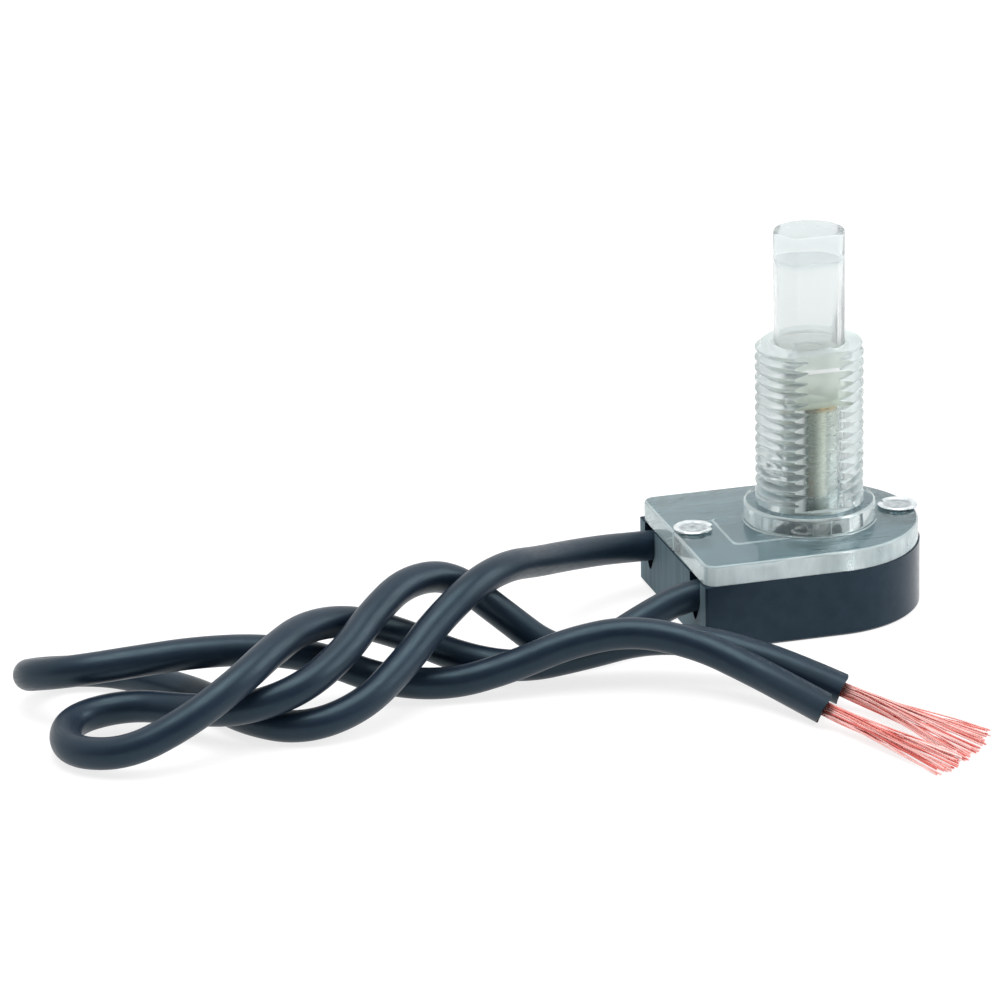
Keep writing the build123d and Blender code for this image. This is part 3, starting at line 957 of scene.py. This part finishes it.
def plate_finish(place, normal):
    """The finish of a face of the plate."""
    reach = place.xy.length
    if reach > RIM_REACH and abs(normal.z) < LEVEL:
        return THREAD if normal.z > SLOPED or normal.x < -END_WARD else FROSTED
    if normal.z < -LEVEL and reach > INNER_REACH:
        return FOGGED
    # The recess walls get a white line, a painted highlight.
    at_recess = COVER_UNDER < place.z < RECESS_TOP - HAIR / 2 and reach > RECESS_REACH
    in_outline = place.x < 0 and abs(place.y) < RECESS_HALF + RECESS_SLACK
    off_rivet = abs(place.x - RIVET_PLACES[0]) > RIVET_CLEAR
    return HIGHLIGHT_LINE if at_recess and in_outline and off_rivet else PLATE


def cover_finish(polygon):
    """Which of the cover's finishes a face has, as an index in the order of add_cover's materials."""
    place, normal = polygon.center / MM, polygon.normal
    looks_in = place.xy.dot(normal.xy) < 0 and abs(normal.z) < UPRIGHT
    if looks_in and place.xy.length < INNER_REACH:
        return WINDOW
    if place.z > COLLAR_TOP + HAIR:
        return bushing_finish(place, normal)
    if place.z > COVER_TOP + HAIR:
        return collar_finish(place, normal)
    return plate_finish(place, normal)


def add_cover(materials):
    """The plate, collar and bushing as one clear moulding, each face with its own finish."""
    cover = add_plate(materials[PLATE])
    cut(cover, [add_collar(), add_bushing()], "UNION")
    cut(cover, cover_tools(), "DIFFERENCE")
    split_flat(cover)
    finish_mesh(cover, CUT_SMOOTH)
    for other in materials[1:]:
        cover.data.materials.append(other)
    for polygon in cover.data.polygons:
        polygon.material_index = cover_finish(polygon)
    return cover


# Button, sleeve, rivets and spring

def add_button(body, top):
    """The plunger: its foot and cam as in the frame, its clear hollow cap with soft corners."""
    mesh = nodes["push_button"].data.copy()
    work = bmesh.new()
    work.from_mesh(mesh)
    bmesh.ops.remove_doubles(work, verts=work.verts, dist=1e-7)
    work.to_mesh(mesh)
    work.free()
    button = bpy.data.objects.new("push_button_clear", mesh)
    scene.collection.objects.link(button)
    cut(button, [add_slab(-BEYOND, BEYOND, -BEYOND, BEYOND, 0, STEM_CUT)], "INTERSECT")
    stem = [ring(STEM_RADIUS, z, BORE_SIDES) for z in (STEM_CUT - OVERLAP, FLANGE_BOTTOM + SMALL_OVERLAP)]
    flange = [d_ring(FLANGE_RADIUS, FLANGE_FLAT, z) for z in (FLANGE_BOTTOM, FLANGE_TOP)]
    cap = [soft_d_ring(BUTTON_RADIUS, BUTTON_FLAT, BUTTON_CORNER, FLANGE_TOP - BUTTON_SUNK)]
    cap += [soft_d_ring(BUTTON_RADIUS - inset, BUTTON_FLAT - inset, BUTTON_CORNER, BUTTON_TOP - drop)
            for inset, drop in edge_round(BUTTON_EDGE)]
    cut(button, [add_mesh("boss", *stack(form)) for form in (stem, flange, cap)], "UNION")
    inner, flat = BUTTON_RADIUS - BUTTON_WALL, BUTTON_FLAT - BUTTON_WALL
    hollow = [soft_d_ring(inner, flat, HOLLOW_CORNER, HOLLOW_FLOOR)]
    hollow += [soft_d_ring(inner - inset, flat - inset, HOLLOW_CORNER, HOLLOW_TOP - drop)
               for inset, drop in edge_round(HOLLOW_CORNER)]
    spring_bore = [ring(SPRING_BORE, z, BORE_SIDES) for z in (SPRING_BORE_LOW, SPRING_SEAT)]
    web_bore = [ring(WEB_BORE, z, BORE_SIDES)
                for z in (SPRING_SEAT - SMALL_OVERLAP, HOLLOW_FLOOR + SMALL_OVERLAP)]
    cut(button, [add_mesh("bore", *stack(form)) for form in (hollow, spring_bore, web_bore)], "DIFFERENCE")
    finish_mesh(button, CUT_SMOOTH)
    button.data.materials.clear()
    for finish in (body, top):
        button.data.materials.append(finish)
    for polygon in button.data.polygons:
        if polygon.normal.z > LEVEL and polygon.center.z > (BUTTON_TOP - SLACK) * MM:
            polygon.material_index = 1
    return button


def add_sleeve(material):
    """The plated tube on the plunger's stem, its edges broken."""
    bore, radius, edge = SLEEVE_BORE, SLEEVE_RADIUS, SLEEVE_EDGE
    profile = [
        (bore, SLEEVE_BOTTOM + edge), (bore + edge, SLEEVE_BOTTOM),
        (radius - edge, SLEEVE_BOTTOM), (radius, SLEEVE_BOTTOM + edge),
        (radius, SLEEVE_TOP - edge), (radius - edge, SLEEVE_TOP),
        (bore + edge, SLEEVE_TOP), (bore, SLEEVE_TOP - edge)]
    loops = [ring(r, z) for r, z in profile]
    verts, faces = stack(loops + loops[:1], closed_ends=False)
    count = len(verts) - len(loops[0])
    faces = [tuple(v % count for v in face) for face in faces]
    return add_mesh("plunger_sleeve_plated", verts[:count], faces, material)


def add_rivet(name, place, nick, relief, material):
    """A tubular rivet: rolled end, shank, and a dished head whose rounded rim has a nick at an angle."""
    top = COVER_TOP
    profile = list(RIVET_ROLL) + [(radius, top + rise) for radius, rise in RIVET_HEAD]
    chance = random.Random(len(name))
    wave = [chance.uniform(-1, 1) for _ in range(7)]
    loops = []
    for radius, z in profile:
        loop = []
        for i in range(RIVET_SIDES):
            angle = 2 * math.pi * i / RIVET_SIDES
            r, height = radius, z
            uneven = sum(w * math.sin((k + 2) * angle + 3 * radius) for k, w in enumerate(wave)) / 4
            if radius > RIM_START and z > top:
                off = abs((angle - nick + math.pi) % (2 * math.pi) - math.pi)
                bite = math.exp(-(off / NICK_ANGLE) ** 2)
                r -= NICK_BITE * bite * (radius - NICK_ROOT) / (NICK_RIM - NICK_ROOT)
                r -= RIM_UNEVEN * (1 + uneven)
                height -= NICK_DROP * bite * (z > top + RIM_RISE)
            elif z > top + DISH_RISE:
                height += relief * uneven
            loop.append((place + r * math.cos(angle), r * math.sin(angle), height))
        loops.append(loop)
    return add_mesh(name, *stack(loops), material, smooth=40)


def add_spring(material):
    """The return spring's wire as a smooth helix between its foot and its seat."""
    run = SPRING_SEAT - SPRING_FOOT - 2 * SPRING_WIRE
    steps = SPRING_TURNS * SPRING_STEPS
    line = []
    for i in range(steps + 1):
        t = i / steps
        angle = 2 * math.pi * SPRING_TURNS * t
        z = SPRING_FOOT + SPRING_WIRE + run * t
        line.append(Vector((SPRING_RADIUS * math.cos(angle), SPRING_RADIUS * math.sin(angle), z)) * MM)
    loops = tube_loops(line, SPRING_WIRE, SPRING_SIDES)
    return add_mesh("return_spring_coil", *stack(loops), material, smooth=50)


# Studio

def seen_share(tree):
    """One for rays that show the background: from the camera, mirrored or through something clear."""
    path = tree.nodes.new("ShaderNodeLightPath")
    direct = larger(tree, path.outputs["Is Camera Ray"], path.outputs["Is Glossy Ray"])
    return larger(tree, direct, path.outputs["Is Transmission Ray"])


def paper():
    """Pale paper: plain where it lights the object, near white where it is seen."""
    material, tree, plain = new_material("paper")
    plain.inputs["Base Color"].default_value = (0.80, 0.80, 0.80, 1.0)
    plain.inputs["Roughness"].default_value = 0.9
    bump(tree, plain, noise(tree, 300.0), 0.02, 0.0001)
    seen = tree.nodes.new("ShaderNodeBsdfPrincipled")
    seen.inputs["Base Color"].default_value = (0.28, 0.28, 0.28, 1.0)
    seen.inputs["Roughness"].default_value = 0.9
    seen.inputs["Specular IOR Level"].default_value = 0.0
    seen.inputs["Emission Color"].default_value = (1.0, 1.0, 1.0, 1.0)
    seen.inputs["Emission Strength"].default_value = 0.78
    both = tree.nodes.new("ShaderNodeMixShader")
    tree.links.new(seen_share(tree), both.inputs["Fac"])
    tree.links.new(plain.outputs["BSDF"], both.inputs[1])
    tree.links.new(seen.outputs["BSDF"], both.inputs[2])
    tree.links.new(both.outputs["Shader"], tree.nodes["Material Output"].inputs["Surface"])
    return material


def add_world():
    """White behind and around the object, darker towards the room in front of it."""
    world = bpy.data.worlds.new("studio")
    scene.world = world
    world.use_nodes = True
    tree = world.node_tree
    background = tree.nodes["Background"]
    background.inputs["Color"].default_value = (1, 1, 1, 1)
    level = map_range(tree, along_way(tree, "Generated", ROOM_WAY), 0.0, ROOM_EDGE, 1.0, ROOM_LEVEL)
    level.node.interpolation_type = "SMOOTHSTEP"
    path = tree.nodes.new("ShaderNodeLightPath")
    through = larger(tree, path.outputs["Is Camera Ray"], path.outputs["Is Transmission Ray"])
    tree.links.new(larger(tree, level, through), background.inputs["Strength"])


def add_studio():
    """A pale floor, a bright room and two soft lamps."""
    half = FLOOR_HALF
    corners = [(-half, -half, 0), (half, -half, 0), (half, half, 0), (-half, half, 0)]
    floor = add_mesh("floor", corners, [(0, 1, 2, 3)], paper())
    add_world()
    for name, place, size, power, aim in LAMPS:
        data = bpy.data.lights.new(name, "AREA")
        data.size = size
        data.energy = power
        lamp = bpy.data.objects.new(name, data)
        lamp.location = place
        lamp.rotation_euler = (Vector(aim) - Vector(place)).to_track_quat("-Z", "Y").to_euler()
        scene.collection.objects.link(lamp)


add_camera()
scene.view_settings.view_transform = "Standard"

vinyl_material = vinyl()
cut_vinyl = matte_vinyl()
copper = copper_wire()
for name, route, tips, seed in (("far", ROUTE_FAR, TIPS_FAR, 5), ("near", ROUTE_NEAR, TIPS_NEAR, 8)):
    lead, line = add_lead(f"insulation_{name}", route, vinyl_material, cut_vinyl)
    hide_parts(f"lead_{name}")
    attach(lead, "housing")
    ahead = (line[-1] - line[-3]).normalized()
    fan = add_strands(f"strand_fan_{name}", line[-1], ahead, tips, seed, copper)
    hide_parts(f"strands_{name}")
    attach(fan, "housing")

cover = add_cover([
    clear_plastic("clear_plate_plastic", (0.70, 0.88, 0.92), rough=0.11, waviness=0.05),
    clear_plastic("frosted_edge_plastic", (0.89, 0.985, 1.0), rough=0.16, haze=0.72, grain=(1, 1, 0.08),
                  depth=0.24, clearest=0.12),
    clear_plastic("clear_thread_plastic", (0.90, 0.985, 0.975), haze=0.31),
    clear_plastic("clear_collar_plastic", (0.90, 0.98, 0.98), haze=0.16, waviness=0.45, grain=(1, 1, 0.2)),
    clear_plastic("clear_window_plastic", (0.96, 0.98, 0.97), rough=0.05),
    clear_plastic("thread_end_plastic", (0.92, 0.99, 0.97), haze=0.56, fade=(0.0015, 0.0020)),
    # Painted shade: the hazy window is darker olive at its foot and paler above.
    clear_plastic("hazy_window_painted_shade_plastic", rough=0.08, haze=0.40, stops=(
        (0.0188, (0.62, 0.70, 0.58)), (0.0200, (0.84, 0.92, 0.82)), (0.0220, (0.93, 1.0, 0.94)),
        (0.0240, (0.94, 1.0, 0.97)))),
    clear_plastic("fogged_plate_plastic", (0.245, 0.38, 0.425), rough=0.25, haze=0.45, grain=(0.12, 1, 1),
                  depth=0.22),
    # White haze on the recess walls and at the lip step: a painted highlight where these edges catch light.
    clear_plastic("painted_highlight_line_plastic", (0.97, 1.0, 1.0), rough=0.20, haze=0.80),
])
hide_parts("clear_cover")
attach(cover, "housing")

rivet_finish = rivet_plate()
for end, place, nick, relief in (("lead", RIVET_PLACES[0], -0.3, 0.05), ("round", RIVET_PLACES[1], 2.4, 0.015)):
    rivet = add_rivet(f"rivet_{end}_end_dished", place, nick, relief, rivet_finish)
    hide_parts(f"rivet_{end}_end")
    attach(rivet, "housing")

spring = add_spring(metal("spring_steel", (0.45, 0.45, 0.44), (0.60, 0.60, 0.58), (0.18, 0.30)))
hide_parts("return_spring")
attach(spring, "housing")
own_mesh(spring)

button = add_button(
    clear_plastic("clear_button_plastic", rough=0.08, haze=0.24, ior=BUTTON_IOR, stops=(
        (0.0065, (0.95, 0.96, 0.92)), (0.0188, (0.91, 0.96, 0.88)), (0.0223, (0.94, 0.985, 0.94)),
        (0.0243, (0.925, 0.952, 0.95)), (0.0309, (0.925, 0.952, 0.95)), (0.0316, (0.78, 0.83, 0.835)),
        (0.0340, (0.80, 0.85, 0.855)))),
    clear_plastic("scuffed_button_plastic", (0.56, 0.605, 0.605), rough=0.20, haze=0.34, ior=BUTTON_IOR))
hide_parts("push_button")
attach(button, "button")

sleeve = add_sleeve(bright_plate())
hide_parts("plunger_sleeve")
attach(sleeve, "button")

tin = metal("tin_plate", (0.40, 0.40, 0.39), (0.56, 0.55, 0.53), (0.3, 0.5))
finishes = {
    "base_housing": black_moulding(),
    "cam_rotor": black_moulding(),
    "contact_bridge": metal("contact_brass", (0.62, 0.46, 0.20), (0.75, 0.58, 0.28), (0.2, 0.35)),
    "terminal_far": tin,
    "terminal_near": tin,
    "core_far": copper,
    "core_near": copper,
}
for name, material in finishes.items():
    mesh = nodes[name].data
    mesh.materials.clear()
    mesh.materials.append(material)

add_studio()
